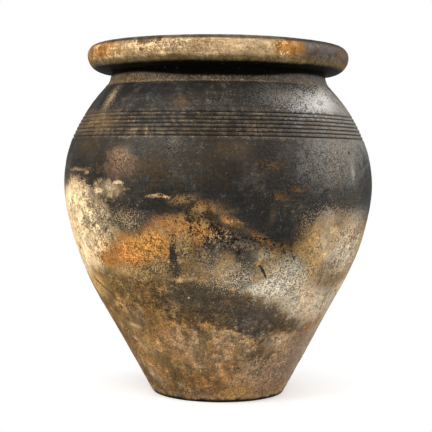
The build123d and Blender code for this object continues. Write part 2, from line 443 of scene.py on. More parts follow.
# Belly, up to the soot
BELLY_STAINS = [
    (AMBER, -67, 164, 11, 18, CLOUDY, 100),
    (OLIVE, -52, 182, 11, 3.4, FLAKY, 75),
    (UMBER, -60, 162, 9, 2.2, FLAKY, 80, -26),
    (CREAM, -62, 248, 20, 62, CLEAN, 100),
    (CREAM, -75, 215, 16, 42, CLEAN, 100),
    (CREAM, -92, 245, 16, 52, CLEAN, 100),
    (DULL_CREAM, -45.5, 258, 7, 38, CLOUDY, 90),
    (DULL_CREAM, -54, 240, 7, 26, HAZY, 40),
    (SMUDGE, -55, 249, 5, 10, CLOUDY, 90),
    (SMUDGE, -46, 252, 5, 12, CLOUDY, 85),
    (SMUDGE, -50, 282, 6, 10, CLOUDY, 60),
    (SMUDGE, -63, 268, 16, 34, BROKEN, 25),
    (UMBER, -70, 212, 1.2, 3.4, CLEAN),
    (COPPER, -46, 200, 6.5, 12, FLAKY, 90),
    (ORANGE, -32, 217, 15, 28, FLAKY, 95, 18),
    (APRICOT, -26, 226, 9, 21, HAZY, 95),
    (ORANGE, -10, 246, 8, 12, CLOUDY, 50),
    (ORANGE, -18, 256, 9, 13, SPECKLED, 85),
    (UMBER, -28, 222, 13, 34, SPARSE, 30),
    (UMBER, -31, 244, 13, 22, BROKEN, 60),
    (GOLD, -38, 188, 10, 8, CLOUDY),
    (KHAKI, -25, 192, 7, 11, CLOUDY, 85),
    (COAL, -26, 192, 8, 12, SPARSE, 60),
    (KHAKI, -12.5, 222, 3, 26, CLOUDY, 60),
    (RUST, -6, 220, 4, 17, SPECKLED, 60),
    (UMBER, -6, 210, 8, 24, SPARSE, 60),
    (COAL, -16.8, 206, 1.5, 30, FLAKY),
    (COAL, -16.8, 211, 1.2, 13, FLAKY, 85),
    (DRAB, -3, 202, 8, 24, CLOUDY, 70),
    (DUSK, 5, 216, 12, 34, FLAKY, 90),
    (COAL, 9, 207, 8, 13, CLOUDY, 60, -40),
    (GOLD, 2.5, 194, 4, 21, FLAKY, 85),
    (UMBER, 2.5, 194, 4, 20, SPARSE),
    (BEIGE, 60, 218, 18, 46, FLAKY, 95),
    (BEIGE, 54, 140, 18, 27, CLOUDY, 95),
    (BEIGE, 76, 150, 20, 46, CLOUDY, 90),
    (RUSSET, 65, 242, 5.5, 9, CLOUDY, 60),
    (BROWN, 61, 229, 1.6, 8, CLOUDY, 60),
    (BROWN, 64, 176, 10, 9, CLOUDY, 40),
    (BROWN, 58, 170, 16, 70, BROKEN, 35),
    (GOLD, 36, 230, 8, 30, FLAKY, 85),
    (BEIGE, 42, 226, 8, 30, SPECKLED),
    (ASH, 28, 176, 16, 34, FLAKY, 90),
    (PALE_ASH, 20, 169, 12, 14, FLAKY, 85),
    (COAL, 9, 182, 9, 14, CLOUDY),
    (PALE_ASH, 10, 182, 14, 22, SPARSE, 100),
    (GREEN_GREY, 17, 211, 4.5, 9, SPECKLED, 90),
    (BEIGE, 40, 148, 13, 26, FLAKY, 90),
    (AMBER, 39.5, 197, 4, 18, CLOUDY, 70),
    (SMOKE, 28, 180, 16, 36, SPARSE, 70),
    (UMBER, 58, 210, 16, 46, SPARSE, 30),
    (PALE_ASH, 28, 174, 16, 30, BROKEN, 50),
    (UMBER, 48, 257, 2.4, 14, SPECKLED, 85, -12),
    (CREAM, 45, 245, 3, 6, SPECKLED),
    (CREAM, 44, 208.5, 3, 5, SPECKLED),
    (SOOT_AND_SHADE, 16.5, 191.5, 0.5, 12, CLEAN, 90, 40),
    (BUFF, 126, 222, 24, 46, CLOUDY),
    (ORANGE, 152, 200, 15, 26, FLAKY, 90),
    (SMOKE, 172, 172, 16, 20, CLOUDY),
    (ASH, -164, 190, 13, 24, SPECKLED, 85),
    (GOLD, -142, 216, 13, 34, FLAKY, 85),
    (BUFF, -116, 226, 15, 44, FLAKY, 90),
]

# Marks over the soot, up to the neck
SOOT_STAINS = [
    (SOOT_AND_SHADE, 12, 268, 20, 36, CLOUDY),
    (SOOT_AND_SHADE, -23, 276, 12, 9, CLOUDY),
    (SOOT_AND_SHADE, 2, 345, 24, 26, CLOUDY, 50),
    (SOOT_AND_SHADE, -8, 424, 32, 14, CLOUDY, 60),
    (GREY, 46, 340, 18, 44, CLOUDY, 70),
    (GREY, 44, 334, 20, 48, SPARSE, 70),
    (SOOT_AND_SHADE, 46, 340, 18, 40, SPARSE, 70),
    (GREY, 62, 392, 26, 50, CLOUDY, 100),
    (GREY, 31, 420, 14, 20, SPECKLED, 60),
    # Painted sheen on the right shoulder, partly dust: a pale speckled highlight
    (DUST_AND_SHEEN, 50, 416, 16, 18, CLOUDY, 85, 12),
    (DUST_AND_SHEEN, 47, 418, 17, 20, SPARSE, 90, 12),
    (DUST_AND_SHEEN, 54.5, 319, 1.2, 12, SPECKLED, 55),
    (DUST_AND_SHEEN, 44, 391, 0.6, 2, CLEAN, 90),
    (GREY, -17, 358, 6, 19, SPARSE, 60),
    (BROWN, -28, 330, 30, 46, BROKEN, 22),
    (UMBER, 4, 350, 6, 13, CLOUDY, 40),
    (UMBER, 0, 345, 26, 42, SPARSE, 30),
    (RUSSET, -36, 330, 7, 20, CLOUDY, 75),
    (SAND, -36, 342, 5, 12, CLOUDY, 20),
    (COAL, -36, 326, 9, 22, SPARSE, 50),
    (OCHRE, -58, 385, 17, 16, FLAKY, 60),
    (BROWN, -56, 355, 8, 12, SPECKLED, 30),
    (SAND, -60, 321.5, 6, 2.2, SPECKLED, 85),
    (SAND, -53, 318, 1.2, 2, FLAKY),
    (BUFF, -40, 297, 6.5, 13, FLAKY, 25),
    (BUFF, -40, 297, 7, 14, BROKEN),
    (CREAM, -36.5, 306, 2, 2.6, FLAKY, 90),
    (CREAM, -46, 293, 2, 3, FLAKY, 85),
    (SOOT_AND_SHADE, -35, 258, 7, 14, CLOUDY, 70),
    (BUFF, -35, 255, 7, 14, SPARSE),
    (SOOT_AND_SHADE, -53.4, 420, 0.9, 16, FLAKY, 80, 36),
    (BUFF, -55, 418, 2.4, 15, SPECKLED, 70, 24),
    (SAND, -20, 288, 4.6, 2, FLAKY, 80, 2),
    (OCHRE, -12, 285, 5, 6.5, CLOUDY),
    (RUST, -5, 273, 6, 9, FLAKY),
    (GOLD, -6, 272, 6, 8, SPARSE, 90),
    (COPPER, 4, 258, 5, 7, FLAKY, 80, -30),
    (RUST, 1.5, 270, 3, 4, SPECKLED),
    (SIENNA, 14, 236, 9, 7, FLAKY, 80, -26),
    (RUST, 15, 236, 9, 7, BROKEN, 90, -26),
    (RUST, 23.5, 224, 5, 3.6, SPECKLED, 80, -15),
    (COAL, 5, 254, 22, 20, BROKEN, 85, -24),
    (SOOT_AND_SHADE, 8, 247, 19, 15, SPARSE, 90, -24),
    (GOLD, 4, 257, 6, 8, SPARSE, 50, -30),
    (UMBER, 17.5, 265, 1.5, 11, CLOUDY, 45),
    (GOLD, 34.5, 238, 4.5, 20, SPECKLED, 75),
    (BEIGE, 42, 262, 7, 12, SPECKLED, 60),
    (BEIGE, 58, 262, 10, 9, SPECKLED, 60),
    (RUST, 27, 299, 3, 7, SPARSE, 100),
    (RUST, 21, 288, 3, 7, SPARSE, 100),
    (RUST, 16.5, 330, 3.5, 6, SPARSE),
    (RUST, -16, 411, 5, 7, SPARSE, 70),
    (SOOT_AND_SHADE, -18.5, 349, 0.6, 2.4, CLEAN, 100),
    (SOOT_AND_SHADE, 54.5, 346, 0.9, 3, CLEAN),
    (GREY, 112, 350, 22, 60, CLOUDY, 50),
    (RUSSET, 146, 318, 12, 30, CLOUDY, 70),
    (GREY, -150, 372, 24, 50, CLOUDY, 45),
    (RUST, -128, 306, 10, 16, SPECKLED),
    (BROWN, -98, 352, 16, 34, SPECKLED, 50),
]

# Neck
NECK_STAINS = [
    (NECK_OCHRE, -58, 442, 30, 16, CLOUDY, 90),
    (GREY, 56, 444, 26, 14, SPECKLED),
    (COAL, -10, 444, 60, 16, SPARSE, 50),
]

# Rim, where most of a stain's height lies beyond it
RIM_STAINS = [
    (RUST, -80, 486, 14, 20, FLAKY),
    (COPPER, -58, 478, 11, 7, CLOUDY),
    (ORANGE, -57, 486, 10, 9, HAZY, 95),
    (RUST, -65, 486, 4, 1.5, FLAKY, 70),
    (GOLD, -45, 479, 5, 4, CLOUDY, 70),
    (BROWN, -45, 486, 12, 20, HAZY, 40),
    (BROWN, 5, 482, 24, 30, HAZY, 25),
    (CREAM, 21, 487, 5, 4, CLOUDY, 50),
    (GOLD, 19, 476, 9, 5, HAZY, 60),
    (BUFF, 12, 482, 13, 12, CLOUDY, 40),
    (BROWN, -19, 486, 12, 6, SPARSE, 60),
    (UMBER, -32, 492.5, 7, 5, FLAKY, 85),
    (UMBER, -34, 482, 1, 2.6, CLEAN, 85),
    (PLUM, 62, 484, 34, 80, EVEN, 95),
    (PALE_PLUM, 47, 487, 13, 5, CLOUDY, 70),
    (BROWN, 67, 481, 5, 4, CLOUDY, 60),
    (COPPER, 29, 483, 7.5, 14, HAZY, 95),
    (PLUM, 134, 480, 22, 60, FLAKY, 100),
    (BROWN, -130, 480, 30, 60, SPECKLED),
]


def half_section(node):
    """Half section of a node as (radius, height) points, counter-clockwise, from its seam on y = 0."""
    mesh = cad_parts[node].data
    points = {}
    for vertex in mesh.vertices:
        if abs(vertex.co.y) < SAME_PLACE and vertex.co.x > SAME_PLACE:
            points[vertex.index] = (round(vertex.co.x, 5), round(vertex.co.z, 5))
    links = {point: set() for point in points.values()}
    for edge in mesh.edges:
        first, second = (points.get(index) for index in edge.vertices)
        if first and second and first != second:
            links[first].add(second)
            links[second].add(first)
    # A flat face can lack a seam, so loose ends at one height are joined across it
    loose = [point for point in links if len(links[point]) == 1]
    for first, second in combinations(loose, 2):
        if abs(first[1] - second[1]) < 2 * SAME_PLACE:
            links[first].add(second)
            links[second].add(first)
    ends = sorted(point for point in links if len(links[point]) == 1)
    chain = [ends[0] if ends else min(links)]
    while links[chain[-1]]:
        following = min(links[chain[-1]])
        links[chain[-1]].discard(following)
        links[following].discard(chain[-1])
        chain.append(following)
    if ends:
        chain.sort(key=lambda point: point[1])
        return [(0.0, chain[0][1])] + chain + [(0.0, chain[-1][1])]
    chain.pop()
    r, z = np.array(chain).T
    if np.sum(r * np.roll(z, -1) - np.roll(r, -1) * z) < 0:
        chain.reverse()
    return chain


def marks_along(points):
    """Length of a line through points up to each of them."""
    steps = np.hypot(*np.diff(np.array(points), axis=0).T)
    return np.concatenate([[0], np.cumsum(steps)])


def smooth_samples(points, step):
    """Points along a run, evenly spaced, on a smooth curve through the given ones."""
    points = np.array(points)
    marks = marks_along(points)
    count = max(1, math.ceil(marks[-1] / step))
    wanted = np.linspace(0, marks[-1], count + 1)
    if len(points) == 2:
        return np.stack([np.interp(wanted, marks, column) for column in points.T], axis=1)
    slopes = np.gradient(points, marks, axis=0, edge_order=2)
    index = np.clip(np.searchsorted(marks, wanted, side="right") - 1, 0, len(points) - 2)
    width = (marks[index + 1] - marks[index])[:, None]
    t = (wanted[:, None] - marks[index][:, None]) / width
    start = (1 + 2 * t) * (1 - t) ** 2 * points[index] + t * (1 - t) ** 2 * width * slopes[index]
    end = t * t * (3 - 2 * t) * points[index + 1] + t * t * (t - 1) * width * slopes[index + 1]
    return start + end


def split_at_corners(points):
    """Pieces of a run between its sharp corners."""
    pieces = [[points[0]]]
    for before, here, after in zip(points, points[1:], points[2:]):
        pieces[-1].append(here)
        turn = Vector(np.subtract(here, before)).angle(Vector(np.subtract(after, here)))
        if math.degrees(turn) > CORNER_TURN:
            pieces.append([here])
    pieces[-1].append(points[-1])
    return pieces


def depth_under_chord(samples):
    """How far each sample lies to the left of the straight line between the first and the last one."""
    along = samples[-1] - samples[0]
    offset = samples - samples[0]
    return np.maximum(0, (along[0] * offset[:, 1] - along[1] * offset[:, 0]) / np.hypot(*along))


def joined(parts):
    """Columns of a list of parts, each joined to one array."""
    return [np.concatenate(column) for column in zip(*parts)]


def sampled_run(points, step):
    """A run resampled from corner to corner, and the depth of each sample in a groove."""
    parts = []
    for piece in split_at_corners(points):
        short = marks_along(piece)[-1] < GROOVE_LIMIT
        samples = smooth_samples(piece, GROOVE_STEP if short else step)
        depths = depth_under_chord(samples) if short else np.zeros(len(samples))
        first = 1 if parts else 0
        parts.append((samples[first:], depths[first:]))
    return joined(parts)


sections = {node: half_section(node) for node in [*COURSE_SLOTS, COIL]}


def shared_places(loop, node):
    """Places in a node's section of the points that another section has too."""
    others = [point for name, points in sections.items() if name != node for point in points]
    near = 3 * SAME_PLACE
    return [place for place, point in enumerate(loop) if any(math.dist(point, o) < near for o in others)]


def runs_of(node):
    """The section's outer and inner runs, in order, between the points shared with its neighbours; the
    short seats are skipped.
    """
    loop = sections[node]
    corners = shared_places(loop, node)
    if loop[0][0] == 0:
        corners = [0, *corners, len(loop) - 1]
    else:
        first = max(corners, key=lambda index: loop[index][0] - loop[index][1])
        loop = loop[first:] + loop[:first] + [loop[first]]
        corners = shared_places(loop, node)
    runs = {}
    for start, end in zip(corners, corners[1:]):
        run = loop[start : end + 1]
        if "outer" not in runs:
            runs["outer"] = run
        elif marks_along(run)[-1] > SEAT_LIMIT:
            runs["inner"] = run
    return runs


# The jar's skin: one line from the middle of its underside, up the outside and down the inside
runs = {node: runs_of(node) for node in COURSE_SLOTS}
skin_order = [(node, "outer") for node in COURSE_SLOTS]
skin_order += [(node, "inner") for node in reversed(COURSE_SLOTS) if "inner" in runs[node]]
skin_rows = {}
skin_parts = []
row_count = 0
for node, side in skin_order:
    points, depths = sampled_run(runs[node][side], OUTER_STEP if side == "outer" else INNER_STEP)
    first = 1 if skin_parts else 0
    start = row_count - first
    skin_parts.append((points[first:], depths[first:]))
    row_count += len(points) - first
    skin_rows[node, side] = (start, row_count)
skin, groove_depth = joined(skin_parts)
# The curve through the rounded edge of the foot must not dip under the ground
skin[:, 1] = np.maximum(skin[:, 1], 0)
radius, height = skin.T
along = marks_along(skin)


def smoothed(values, reach):
    """Values along the skin, each averaged with its neighbours within a reach."""
    out = np.empty_like(values)
    for index, mark in enumerate(along):
        low, high = np.searchsorted(along, [mark - reach, mark + reach])
        out[index] = values[low : high + 1].mean(axis=0)
    return out


def eased(value, start, end):
    """0 before start, 1 after end and smooth between."""
    t = np.clip((value - start) / (end - start), 0, 1)
    return t * t * (3 - 2 * t)


def value_noise(points):
    """Smooth random values from -1 to 1, one lattice cell for each unit of length."""
    cell = np.floor(points).astype(int)
    part = points - cell
    part = part * part * (3 - 2 * part)
    total = 0
    for step in product((0, 1), repeat=3):
        weight = np.prod(np.where(step, part, 1 - part), axis=-1)
        x, y, z = np.moveaxis((cell + step) % NOISE_CELLS, -1, 0)
        total = total + weight * noise_lattice[x, y, z]
    return 2 * total - 1


tangent = np.gradient(skin, along, axis=0)
normal = smoothed(np.stack([tangent[:, 1], -tangent[:, 0]], axis=1), NORMAL_REACH)
normal /= np.hypot(*normal.T)[:, None]

rim_start = skin_rows["rim_roll", "outer"][0]
inner_start = skin_rows["rim_roll", "outer"][1]
rim_top = rim_start + np.argmax(height[rim_start:inner_start])
inside = eased(along, along[rim_top] + INSIDE_START, along[rim_top] + INSIDE_FULL)

# Lower lip of each groove, where the flat wall breaks into it, marked for a lighter colour that is partly
# wear and partly a painted highlight
lip = np.zeros(row_count)
for row in np.flatnonzero((groove_depth[:-1] == 0) & (groove_depth[1:] > 0)):
    lip = np.maximum(lip, 1 - eased(np.abs(along - along[row]), *LIP_FADE))

turn = np.linspace(0, 2 * math.pi, SEGMENTS, endpoint=False)
around = np.stack([np.sin(turn), -np.cos(turn)], axis=1)
place = np.empty((row_count, SEGMENTS, 3))
place[..., :2] = radius[:, None, None] * around
place[..., 2] = height[:, None]
azimuth = (np.degrees(turn) + 180) % 360 - 180


def noise_in_space(size):
    """Noise with lumps of one size in every direction."""
    return value_noise(place / size)


def noise_along(size):
    """Noise drawn out round the jar, as left by a turning wheel."""
    rings = np.empty_like(place)
    rings[..., 0] = along[:, None] / size
    rings[..., 1:] = around * RING_CELLS + RING_SHIFT
    return value_noise(rings)


def surface_point(angle, level):
    """Point of the outer face at an azimuth and a height."""
    reach = np.interp(level, height[:rim_top], radius[:rim_top])
    angle = math.radians(angle)
    return np.array([reach * math.sin(angle), -reach * math.cos(angle), level])


def dent(relief, angle, level, reach, depth):
    """Sinks a shallow hollow with a ragged edge into the outer face."""
    rows = np.flatnonzero(np.abs(height[:inner_start] - level) < 2 * reach)
    away = np.linalg.norm(place[rows] - surface_point(angle, level), axis=2) / reach
    away += DENT_RAGGED * value_noise(place[rows] / (DENT_GRAIN * reach))
    relief[rows] -= depth * (1 - eased(away, *DENT_EDGE))


def patch(angle, level, half_width, half_rise):
    """Soft oval on the outer face: 1 in its middle, 0 outside."""
    across = ((azimuth - angle + 180) % 360 - 180) / half_width
    up = (height[:, None] - level) / half_rise
    return (1 - eased(np.hypot(across, up), *CRUST_EDGE)) * (1 - inside[:, None])


def summed(noise, rows, base=0):
    """A base value plus noise of several sizes."""
    return sum((rise * noise(size) for size, rise in rows), base)


relief = summed(noise_in_space, LUMPS)
turned = summed(noise_along, WHEEL_LINES)
ridges = summed(noise_along, INNER_RIDGES)
rough = summed(noise_in_space, ROUGHNESS)
relief += rough + turned * (1 - inside[:, None]) + ridges * inside[:, None]
crust = np.clip(summed(noise_in_space, CRUST_GRAINS, CRUST_SHARE), 0, 1)
for angle, level, half_width, half_rise, thickness in CRUSTS:
    relief += thickness * crust * patch(angle, level, half_width, half_rise)
ridge_row = skin_rows["neck_ring", "outer"][0]
from_ridge = np.abs(along - along[ridge_row]) / NECK_RIDGE_REACH
uneven = summed(noise_in_space, NECK_RIDGE_CHANGE, NECK_RIDGE_SHARE)
relief += NECK_RIDGE * (1 - eased(from_ridge, 0, 1))[:, None] * uneven
groove_fill = summed(noise_in_space, GROOVE_FILL_CHANGE, GROOVE_FILL)
relief += groove_depth[:, None] * np.clip(groove_fill, 0, GROOVE_FILL_LIMIT)
for angle, level, reach, depth in DENTS:
    dent(relief, angle, level, reach, depth)
for _ in range(PIT_COUNT):
    angle = rng.uniform(-180, 180)
    level = rng.uniform(*PIT_LEVELS)
    dent(relief, angle, level, rng.uniform(*PIT_REACHES), rng.uniform(*PIT_DEPTHS))
outer_fade = eased(height, 0, GROUND_FADE)
inner_fade = eased(height, *INNER_FADE)
relief *= np.where(inside > 0.5, inner_fade, outer_fade)[:, None]

surface = place.copy()
surface[..., :2] += (relief * normal[:, :1])[..., None] * around
surface[..., 2] += relief * normal[:, 1:]
surface[..., 0] += LEAN_AT_RIM * height[:, None] / height.max()
surface[..., 0] += SWAY * np.exp(-(((height[:, None] - SWAY_HEIGHT) / SWAY_REACH) ** 2))


def seat_rows(start, end):
    """Straight rows across a joint, between two rows of the skin and without them."""
    count = max(1, math.ceil(math.dist(skin[start], skin[end]) / SEAT_STEP))
    shares = np.linspace(0, 1, count + 1)[1:-1, None, None]
    return surface[start] + shares * (surface[end] - surface[start])


def new_object(name, data):
    """New object in the scene."""
    thing = bpy.data.objects.new(name, data)
    bpy.context.scene.collection.objects.link(thing)
    return thing


def build_course(node):
    """One course as a closed ring, with its inside, grooves and lips marked on its points."""
    sides = [skin_rows[key] for key in ((node, "outer"), (node, "inner")) if key in skin_rows]
    closed = radius[sides[0][0]] > SAME_PLACE
    parts = []
    for number, (start, end) in enumerate(sides):
        run = np.arange(start, end)
        parts.append((surface[run], run, np.isin(run, [start, end - 1])))
        if closed or number == 0:
            seat = seat_rows(end - 1, sides[(number + 1) % len(sides)][0])
            parts.append((seat, np.full(len(seat), end - 1), np.zeros(len(seat), dtype=bool)))
    rows, marks, corners = joined(parts)
    if not closed:
        poles = rows[[0, -1], 0]
        pole_marks = marks[[0, -1]]
        rows, marks, corners = (column[1:-1] for column in (rows, marks, corners))
    count = len(rows)
    low = np.arange(count if closed else count - 1)[:, None] * SEGMENTS
    high = (low + SEGMENTS) % (count * SEGMENTS)
    here = np.arange(SEGMENTS)
    after = (here + 1) % SEGMENTS
    quads = np.stack([low + here, low + after, high + after, high + here], axis=-1)
    faces = quads.reshape(-1, 4).tolist()
    points = rows.reshape(-1, 3)
    marks = np.repeat(marks, SEGMENTS)
    if not closed:
        bottom_pole = np.full(SEGMENTS, len(points))
        last = (count - 1) * SEGMENTS
        faces += np.stack([bottom_pole, after, here], axis=-1).tolist()
        faces += np.stack([bottom_pole + 1, last + here, last + after], axis=-1).tolist()
        points = np.concatenate([points, poles])
        marks = np.concatenate([marks, pole_marks])
    mesh = bpy.data.meshes.new(node)
    mesh.from_pydata(points.tolist(), [], faces)
    mesh.shade_smooth()
    for name, values in (("inside", inside), ("groove", groove_depth * 1000), ("lip", lip)):
        attribute = mesh.attributes.new(name, "FLOAT", "POINT")
        attribute.data.foreach_set("value", values[marks].astype(np.float32))
    ends = np.empty(2 * len(mesh.edges), dtype=np.int32)
    mesh.edges.foreach_get("vertices", ends)
    first, second = ends.reshape(-1, 2).T // SEGMENTS
    sharp = (first == second) & np.isin(first, np.flatnonzero(corners))
    mesh.attributes.new("sharp_edge", "BOOLEAN", "EDGE").data.foreach_set("value", sharp)
    return new_object(node + "_skin", mesh)


class Graph:
    """Adds linked nodes to one node tree."""

    def __init__(self, tree):
        self.tree = tree

    def node(self, kind, sockets=None, **settings):
        """A node with its settings made and its sockets linked or given constant values."""
        node = self.tree.nodes.new(kind if kind.startswith("Node") else "ShaderNode" + kind)
        for name, value in settings.items():
            setattr(node, name, value)
        for key, value in (sockets or {}).items():
            if isinstance(value, bpy.types.NodeSocket):
                self.tree.links.new(value, node.inputs[key])
            else:
                node.inputs[key].default_value = value
        return node

    def socket(self, name, way="OUTPUT", kind="Float"):
        """Adds a socket to a node group."""
        self.tree.interface.new_socket(name, in_out=way, socket_type="NodeSocket" + kind)

    def math(self, operation, *values):
        """Result of a math node."""
        return self.node("Math", dict(enumerate(values)), operation=operation).outputs[0]

    def product(self, first, *others):
        """Product of several values."""
        for value in others:
            first = self.math("MULTIPLY", first, value)
        return first

    def fade(self, value, start, end):
        """0 at start, 1 at end and smooth between."""
        sockets = {"Value": value, "From Min": start, "From Max": end}
        return self.node("MapRange", sockets, interpolation_type="SMOOTHSTEP").outputs[0]

    def patches(self, noise, start, full, *shares):
        """Share of a colour that lies where noise goes past start, in patches."""
        return self.product(self.fade(noise, start, full), *shares)

    def span(self, value, low, high):
        """A value from 0 to 1 spread over another range."""
        return self.math("MULTIPLY_ADD", value, high - low, low)

    def noise(self, place, size, detail, rough, output=0):
        """Fractal noise from 0 to 1 whose largest lumps have the given size."""
        sockets = {"Vector": place, "Scale": 1 / size, "Detail": detail, "Roughness": rough}
        return self.node("TexNoise", sockets, noise_dimensions="3D").outputs[output]

    def signed(self, noise, gain):
        """Noise moved to lie round 0 and stretched."""
        return self.product(self.math("SUBTRACT", noise, 0.5), gain)

    def stretched(self, place, scales):
        """Coordinates scaled by a factor on each axis."""
        return self.node("Mapping", {"Vector": place, "Scale": scales}).outputs[0]

    def mix(self, factor, first, second, way="MIX"):
        """Blend of two colours."""
        colours = [(*c, 1) if isinstance(c, tuple) else c for c in (first, second)]
        sockets = {0: factor, 6: colours[0], 7: colours[1]}
        return self.node("Mix", sockets, data_type="RGBA", blend_type=way).outputs[2]

    def scaled(self, colour, factor):
        """Colour made lighter or darker by a factor."""
        return self.node("HueSaturation", {"Color": colour, "Value": factor}).outputs[0]

    def channels(self, colour):
        """Red, green and blue of a colour."""
        return self.node("SeparateColor", {0: colour}).outputs

    def varied(self, colour, noise, stops):
        """Colour made lighter and darker by noise, by stops of light over the noise's whole range."""
        return self.scaled(colour, self.math("POWER", 2, self.signed(noise, stops)))

    def attribute(self, name):
        """Value of a mesh attribute."""
        return self.node("Attribute", attribute_name=name).outputs["Fac"]


def stain_group():
    """Node group that gives the share of one oval stain at a place on the unrolled wall."""
    g = Graph(bpy.data.node_groups.new("stain", "ShaderNodeTree"))
    for name in STAIN_SOCKETS:
        g.socket(name, "INPUT")
    g.socket("share")
    given = g.node("NodeGroupInput").outputs
    turned = g.math("WRAP", g.math("SUBTRACT", given["azimuth"], given["middle"]), 180, -180)
    across = g.product(turned, MM_PER_DEGREE)
    up = g.math("SUBTRACT", given["height"], given["level"])
    tilt = g.math("RADIANS", given["tilt"])
    cosine = g.math("COSINE", tilt)
    sine = g.math("SINE", tilt)
    long_way = g.math("ADD", g.product(across, cosine), g.product(up, sine))
    short_way = g.math("SUBTRACT", g.product(up, cosine), g.product(across, sine))
    long_way = g.math("DIVIDE", long_way, g.product(given["width"], MM_PER_DEGREE))
    short_way = g.math("DIVIDE", short_way, given["rise"])
    squares = g.math("ADD", g.product(long_way, long_way), g.product(short_way, short_way))
    coarse = g.product(given["coarse"], g.math("SUBTRACT", 1, given["grain"]))
    edge_noise = g.math("MULTIPLY_ADD", given["fine"], given["grain"], coarse)
    distance = g.math("MULTIPLY_ADD", edge_noise, given["ragged"], g.math("SQRT", squares))
    distance = g.math("ADD", distance, given["sparse"])
    outer_edge = g.math("ADD", 1, given["soft"])
    inner_edge = g.math("SUBTRACT", 1, given["soft"])
    share = g.product(g.fade(distance, outer_edge, inner_edge), given["strength"])
    g.node("NodeGroupOutput", {"share": share})
    return g.tree


def slot_span(slot):
    """Lowest and highest point of a slot's courses, in mm."""
    courses = [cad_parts[node] for node, name in COURSE_SLOTS.items() if name == slot]
    levels = [corner[2] * 1000 for course in courses for corner in course.bound_box]
    return min(levels), max(levels)


class Wall(Graph):
    """Node group for a slot's courses, with the places and noises that the zones of the wall share."""

    def __init__(self, slot, stains):
        super().__init__(bpy.data.node_groups.new(slot, "ShaderNodeTree"))
        self.low, self.high = slot_span(slot)
        self.stains = stains
        self.place = self.node("TexCoord").outputs["Object"]
        x, y, z = self.node("SeparateXYZ", {0: self.place}).outputs
        self.azimuth = self.math("DEGREES", self.math("ARCTAN2", x, self.product(y, -1)))
        self.height = self.product(z, 1000)
        self.coarse_noise = self.noise(self.place, *COARSE_NOISE)
        self.fine_noise = self.noise(self.place, *FINE_NOISE)
        self.clumps = self.noise(self.place, *CLUMP_NOISE)
        self.grain = self.noise(self.place, *GRAIN_NOISE)
        self.blotch = self.noise(self.place, *BLOTCH_NOISE)
        self.wheel_streaks = self.noise(self.stretched(self.place, WHEEL_STRETCH), *WHEEL_NOISE)
        self.wiped_streaks = self.noise(self.stretched(self.place, WIPE_STRETCH), *WIPE_NOISE)
        tints = self.noise(self.place, *TINT_NOISE, "Color")
        self.warmth, self.paleness, self.depth = self.channels(tints)
        self.coarse = self.signed(self.coarse_noise, NOISE_GAIN)
        self.fine = self.signed(self.fine_noise, NOISE_GAIN)
        speck = self.math("ADD", self.signed(self.clumps, CLUMP_GAIN), self.signed(self.grain, GRAIN_GAIN))
        speck = self.math("MULTIPLY_ADD", self.fine, FINE_IN_SPECKS, speck)
        self.speck = self.product(speck, self.span(self.fade(self.height, *CALM_ZONE), 1, LOW_SPECKS))
        coarse_part = self.product(self.coarse, COARSE_IN_PATCHES)
        self.patchy = self.math("MULTIPLY_ADD", self.fine, FINE_IN_PATCHES, coarse_part)
        wander = self.noise(self.place, *WANDER_NOISE, "Color")
        push_round, push_up, _ = self.channels(wander)
        self.pushed_azimuth = self.math("ADD", self.azimuth, self.signed(push_round, WANDER_DEGREES))
        self.pushed_height = self.math("ADD", self.height, self.signed(push_up, WANDER_MM))

    def wobbled(self, level, wobbles):
        """A height moved by the fine noise, the coarse noise and the specks, by so many mm each."""
        for noise, wobble in zip((self.fine, self.coarse, self.speck), wobbles):
            level = self.math("MULTIPLY_ADD", noise, wobble, level)
        return level

    def zone(self, start, full, *wobbles):
        """0 at the height start, 1 at full, both in mm and moved by noise."""
        return self.fade(self.wobbled(self.height, wobbles), start, full)

    def reached_by(self, stain):
        """True for a stain that can show at the heights of this slot."""
        tilt = math.radians(stain.tilt)
        slope = stain.width * MM_PER_DEGREE * abs(math.sin(tilt))
        reach = STAIN_REACH * (stain.rise * math.cos(tilt) + slope) + WANDER_MM
        return self.low - reach < stain.level < self.high + reach

    def lay(self, colour, rows):
        """Lays stains over a colour, one after another."""
        values = {"azimuth": self.pushed_azimuth, "height": self.pushed_height}
        values |= {"coarse": self.patchy, "fine": self.speck}
        for stain in (Stain(*row) for row in rows):
            if self.reached_by(stain):
                values |= vars(stain) | vars(stain.edge) | {"strength": stain.strength / 100}
                sockets = {name: values[name] for name in STAIN_SOCKETS}
                share = self.node("Group", sockets, node_tree=self.stains).outputs[0]
                colour = self.mix(share, colour, stain.colour)
        return colour


def clay_ground(g):
    """Clay, browner towards the belly, with wipe marks low down and stains."""
    clay = g.mix(g.zone(*BROWN_ZONE), TAN, BROWN)
    clay = g.mix(g.zone(*OCHRE_ZONE), clay, OCHRE)
    clay = g.mix(g.patches(g.warmth, *DRAB_PATCHES), clay, DRAB)
    fawn_share = g.span(g.fade(g.height, *FAWN_ZONE), *FAWN_SHARES)
    clay = g.mix(g.patches(g.paleness, *FAWN_PATCHES, fawn_share), clay, FAWN)
    clay = g.mix(g.patches(g.depth, *UMBER_PATCHES), clay, UMBER)
    clay = g.varied(clay, g.wiped_streaks, WIPE_STOPS)
    return g.lay(clay, LOWER_STAINS + BELLY_STAINS)


def soot_edge_height(g):
    """Height in mm at which the soot begins, by azimuth."""
    curve = g.node("FloatCurve", {"Value": g.span(g.math("DIVIDE", g.azimuth, 360), 0.5, 1.5)})
    line = curve.mapping.curves[0]
    first, *middle, last = [(angle / 360 + 0.5, level / EDGE_SPAN) for angle, level in SOOT_EDGE]
    for point in middle:
        line.points.new(*point)
    line.points[0].location = first
    line.points[-1].location = last
    curve.mapping.update()
    return g.product(curve.outputs[0], EDGE_SPAN)


def soot_share(g):
    """Share of soot: 1 above an uneven edge."""
    above = g.math("SUBTRACT", g.height, soot_edge_height(g))
    return g.fade(g.wobbled(above, SOOT_WOBBLES), *SOOT_FADE)


